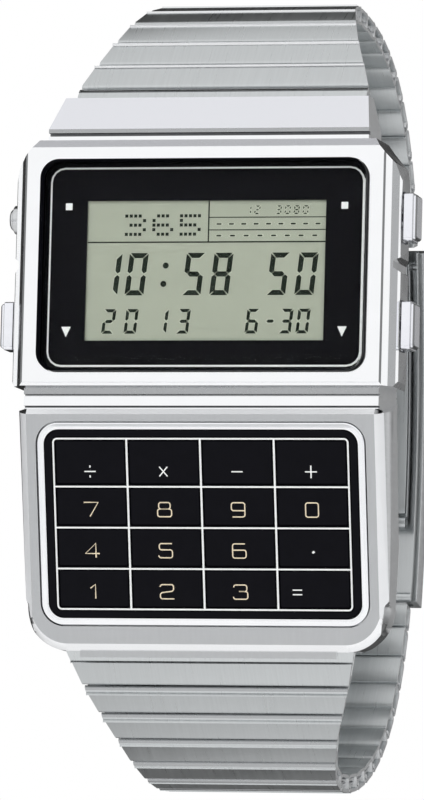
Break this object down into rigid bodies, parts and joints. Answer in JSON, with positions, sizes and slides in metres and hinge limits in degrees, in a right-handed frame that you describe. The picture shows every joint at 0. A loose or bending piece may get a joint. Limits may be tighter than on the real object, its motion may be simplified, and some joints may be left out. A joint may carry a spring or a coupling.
{
  "type": "calculator watch",
  "caption": "Calculator watch with a wide digital display over a sloping keypad, push buttons at the sides and a folded-link steel bracelet with a fold-over clasp.",
  "frame": {"origin": "centre of the outer face of the case back, the face that lies on the wrist", "axes": "+X towards 3 o'clock, +Z towards 12 o'clock, -Y out of the display towards the viewer, +Y out of the case back"},
  "size_m": [0.037, 0.0501, 0.0696],
  "materials": {
    "chrome_case": "polished with satin flats",
    "brushed_steel_links": "brushed along the length",
    "clasp_steel": "brushed",
    "polished_buttons": "polished",
    "dark_pusher": "satin",
    "window_glass": "clear and polished",
    "black_mask": "gloss print",
    "lcd": "matte grey-green film",
    "bright_rim": "polished",
    "black_keys": "smooth",
    "pale_lattice": "printed",
    "mat_rubber": "matte",
    "seal_rubber": "matte",
    "board_green": "soldermask",
    "frame_plastic": "moulded",
    "light_guide": "frosted",
    "chip_black": "moulded",
    "spring_steel": "plain",
    "battery_steel": "plain",
    "buzzer_brass": "plain",
    "back_steel": "brushed",
    "screw_steel": "plain"
  },
  "bodies": {
    "case": {"case_body": "chrome_case", "display_window": "window_glass", "display_mask": "black_mask", "lcd_panel": "lcd", "backlight_panel": "light_guide", "zebra_connectors": "seal_rubber", "module_frame": "frame_plastic", "main_circuit_board": "board_green", "processor_chip": "chip_black", "quartz_crystal": "spring_steel", "coin_battery": "battery_steel", "battery_clamp": "spring_steel", "buzzer_disc": "buzzer_brass", "buzzer_spring": "spring_steel", "side_switch_springs": "spring_steel", "keypad_rim": "bright_rim", "keypad_surround": "black_keys", "keypad_lattice": "pale_lattice", "keypad_rubber_mat": "mat_rubber", "keypad_circuit_board": "board_green", "keypad_backing_plate": "spring_steel", "keypad_ribbon": "light_guide", "button_seals": "seal_rubber", "back_gasket": "seal_rubber", "case_back": "back_steel", "case_back_screws": "screw_steel", "spring_bars": "spring_steel"},
    "upper_strap_1": {"upper_links_1": "brushed_steel_links"},
    "upper_strap_2": {"upper_links_2": "brushed_steel_links"},
    "upper_strap_3": {"upper_links_3": "brushed_steel_links"},
    "upper_strap_4": {"upper_links_4": "brushed_steel_links"},
    "upper_strap_5": {"upper_links_5": "brushed_steel_links"},
    "lower_strap_1": {"lower_links_1": "brushed_steel_links"},
    "lower_strap_2": {"lower_links_2": "brushed_steel_links"},
    "lower_strap_3": {"lower_links_3": "brushed_steel_links"},
    "lower_strap_4": {"lower_links_4": "brushed_steel_links"},
    "lower_strap_5": {"lower_links_5": "brushed_steel_links"},
    "clasp_base": {"clasp_base": "clasp_steel"},
    "clasp_middle": {"clasp_middle": "clasp_steel"},
    "clasp_cover": {"clasp_cover": "clasp_steel"},
    "light_button": {"button_light": "polished_buttons"},
    "clear_button": {"button_clear": "polished_buttons"},
    "mode_button": {"button_mode": "polished_buttons"},
    "adjust_button": {"button_adjust": "dark_pusher"},
    "key_divide_cap": {"key_divide": "black_keys"},
    "key_multiply_cap": {"key_multiply": "black_keys"},
    "key_minus_cap": {"key_minus": "black_keys"},
    "key_plus_cap": {"key_plus": "black_keys"},
    "key_7_cap": {"key_7": "black_keys"},
    "key_8_cap": {"key_8": "black_keys"},
    "key_9_cap": {"key_9": "black_keys"},
    "key_0_cap": {"key_0": "black_keys"},
    "key_4_cap": {"key_4": "black_keys"},
    "key_5_cap": {"key_5": "black_keys"},
    "key_6_cap": {"key_6": "black_keys"},
    "key_point_cap": {"key_point": "black_keys"},
    "key_1_cap": {"key_1": "black_keys"},
    "key_2_cap": {"key_2": "black_keys"},
    "key_3_cap": {"key_3": "black_keys"},
    "key_equals_cap": {"key_equals": "black_keys"}
  },
  "joints": [
    {"name": "upper_link_hinge_1", "type": "hinge", "parent": "case", "child": "upper_strap_1", "pos_m": [0, -0.0032, 0.023], "axis": [1, 0, 0], "range_deg": [0, 12]},
    {"name": "upper_link_hinge_2", "type": "hinge", "parent": "upper_strap_1", "child": "upper_strap_2", "pos_m": [0, 0.00269, 0.02966], "axis": [1, 0, 0], "range_deg": [0, 12]},
    {"name": "upper_link_hinge_3", "type": "hinge", "parent": "upper_strap_2", "child": "upper_strap_3", "pos_m": [0, 0.01084, 0.03382], "axis": [1, 0, 0], "range_deg": [0, 15]},
    {"name": "upper_link_hinge_4", "type": "hinge", "parent": "upper_strap_3", "child": "upper_strap_4", "pos_m": [0, 0.0201, 0.03344], "axis": [1, 0, 0], "range_deg": [0, 10]},
    {"name": "upper_link_hinge_5", "type": "hinge", "parent": "upper_strap_4", "child": "upper_strap_5", "pos_m": [0, 0.03132, 0.0285], "axis": [1, 0, 0], "range_deg": [0, 14]},
    {"name": "lower_link_hinge_1", "type": "hinge", "parent": "case", "child": "lower_strap_1", "pos_m": [0, -0.0018, -0.023], "axis": [-1, 0, 0], "range_deg": [0, 15]},
    {"name": "lower_link_hinge_2", "type": "hinge", "parent": "lower_strap_1", "child": "lower_strap_2", "pos_m": [0, 0.00533, -0.03047], "axis": [-1, 0, 0], "range_deg": [0, 12]},
    {"name": "lower_link_hinge_3", "type": "hinge", "parent": "lower_strap_2", "child": "lower_strap_3", "pos_m": [0, 0.01375, -0.03405], "axis": [-1, 0, 0], "range_deg": [0, 16]},
    {"name": "lower_link_hinge_4", "type": "hinge", "parent": "lower_strap_3", "child": "lower_strap_4", "pos_m": [0, 0.02293, -0.03282], "axis": [-1, 0, 0], "range_deg": [0, 11]},
    {"name": "lower_link_hinge_5", "type": "hinge", "parent": "lower_strap_4", "child": "lower_strap_5", "pos_m": [0, 0.03341, -0.02646], "axis": [-1, 0, 0], "range_deg": [0, 13]},
    {"name": "clasp_base_hinge", "type": "hinge", "parent": "upper_strap_5", "child": "clasp_base", "pos_m": [0, 0.0379, 0.01817], "axis": [1, 0, 0], "range_deg": [0, 11.6]},
    {"name": "clasp_opening", "type": "hinge", "parent": "clasp_base", "child": "clasp_middle", "pos_m": [0, 0.0401, -0.00867], "axis": [-1, 0, 0], "range_deg": [0, 160]},
    {"name": "clasp_cover_turn", "type": "hinge", "parent": "clasp_middle", "child": "clasp_cover", "pos_m": [0, 0.0392, 0.01466], "axis": [-1, 0, 0], "range_deg": [-160, 0]},
    {"name": "light_button_press", "type": "slide", "parent": "case", "child": "light_button", "axis": [-1, 0, 0], "range_m": [0, 0.0005], "stiffness_N_per_m": 1500, "springref_m": -0.0003},
    {"name": "clear_button_press", "type": "slide", "parent": "case", "child": "clear_button", "axis": [-1, 0, 0], "range_m": [0, 0.0005], "stiffness_N_per_m": 1500, "springref_m": -0.0003},
    {"name": "mode_button_press", "type": "slide", "parent": "case", "child": "mode_button", "axis": [1, 0, 0], "range_m": [0, 0.0005], "stiffness_N_per_m": 1500, "springref_m": -0.0003},
    {"name": "adjust_button_press", "type": "slide", "parent": "case", "child": "adjust_button", "axis": [1, 0, 0], "range_m": [0, 0.0005], "stiffness_N_per_m": 1500, "springref_m": -0.0003},
    {"name": "key_divide_press", "type": "slide", "parent": "case", "child": "key_divide_cap", "axis": [0, 0.9744, 0.225], "range_m": [0, 0.0003], "stiffness_N_per_m": 1000, "springref_m": -0.0002},
    {"name": "key_multiply_press", "type": "slide", "parent": "case", "child": "key_multiply_cap", "axis": [0, 0.9744, 0.225], "range_m": [0, 0.0003], "stiffness_N_per_m": 1000, "springref_m": -0.0002},
    {"name": "key_minus_press", "type": "slide", "parent": "case", "child": "key_minus_cap", "axis": [0, 0.9744, 0.225], "range_m": [0, 0.0003], "stiffness_N_per_m": 1000, "springref_m": -0.0002},
    {"name": "key_plus_press", "type": "slide", "parent": "case", "child": "key_plus_cap", "axis": [0, 0.9744, 0.225], "range_m": [0, 0.0003], "stiffness_N_per_m": 1000, "springref_m": -0.0002},
    {"name": "key_7_press", "type": "slide", "parent": "case", "child": "key_7_cap", "axis": [0, 0.9744, 0.225], "range_m": [0, 0.0003], "stiffness_N_per_m": 1000, "springref_m": -0.0002},
    {"name": "key_8_press", "type": "slide", "parent": "case", "child": "key_8_cap", "axis": [0, 0.9744, 0.225], "range_m": [0, 0.0003], "stiffness_N_per_m": 1000, "springref_m": -0.0002},
    {"name": "key_9_press", "type": "slide", "parent": "case", "child": "key_9_cap", "axis": [0, 0.9744, 0.225], "range_m": [0, 0.0003], "stiffness_N_per_m": 1000, "springref_m": -0.0002},
    {"name": "key_0_press", "type": "slide", "parent": "case", "child": "key_0_cap", "axis": [0, 0.9744, 0.225], "range_m": [0, 0.0003], "stiffness_N_per_m": 1000, "springref_m": -0.0002},
    {"name": "key_4_press", "type": "slide", "parent": "case", "child": "key_4_cap", "axis": [0, 0.9744, 0.225], "range_m": [0, 0.0003], "stiffness_N_per_m": 1000, "springref_m": -0.0002},
    {"name": "key_5_press", "type": "slide", "parent": "case", "child": "key_5_cap", "axis": [0, 0.9744, 0.225], "range_m": [0, 0.0003], "stiffness_N_per_m": 1000, "springref_m": -0.0002},
    {"name": "key_6_press", "type": "slide", "parent": "case", "child": "key_6_cap", "axis": [0, 0.9744, 0.225], "range_m": [0, 0.0003], "stiffness_N_per_m": 1000, "springref_m": -0.0002},
    {"name": "key_point_press", "type": "slide", "parent": "case", "child": "key_point_cap", "axis": [0, 0.9744, 0.225], "range_m": [0, 0.0003], "stiffness_N_per_m": 1000, "springref_m": -0.0002},
    {"name": "key_1_press", "type": "slide", "parent": "case", "child": "key_1_cap", "axis": [0, 0.9744, 0.225], "range_m": [0, 0.0003], "stiffness_N_per_m": 1000, "springref_m": -0.0002},
    {"name": "key_2_press", "type": "slide", "parent": "case", "child": "key_2_cap", "axis": [0, 0.9744, 0.225], "range_m": [0, 0.0003], "stiffness_N_per_m": 1000, "springref_m": -0.0002},
    {"name": "key_3_press", "type": "slide", "parent": "case", "child": "key_3_cap", "axis": [0, 0.9744, 0.225], "range_m": [0, 0.0003], "stiffness_N_per_m": 1000, "springref_m": -0.0002},
    {"name": "key_equals_press", "type": "slide", "parent": "case", "child": "key_equals_cap", "axis": [0, 0.9744, 0.225], "range_m": [0, 0.0003], "stiffness_N_per_m": 1000, "springref_m": -0.0002}
  ],
  "couplings": [
    {"joint": "clasp_cover_turn", "follows": "clasp_opening", "ratio": -1}
  ]
}
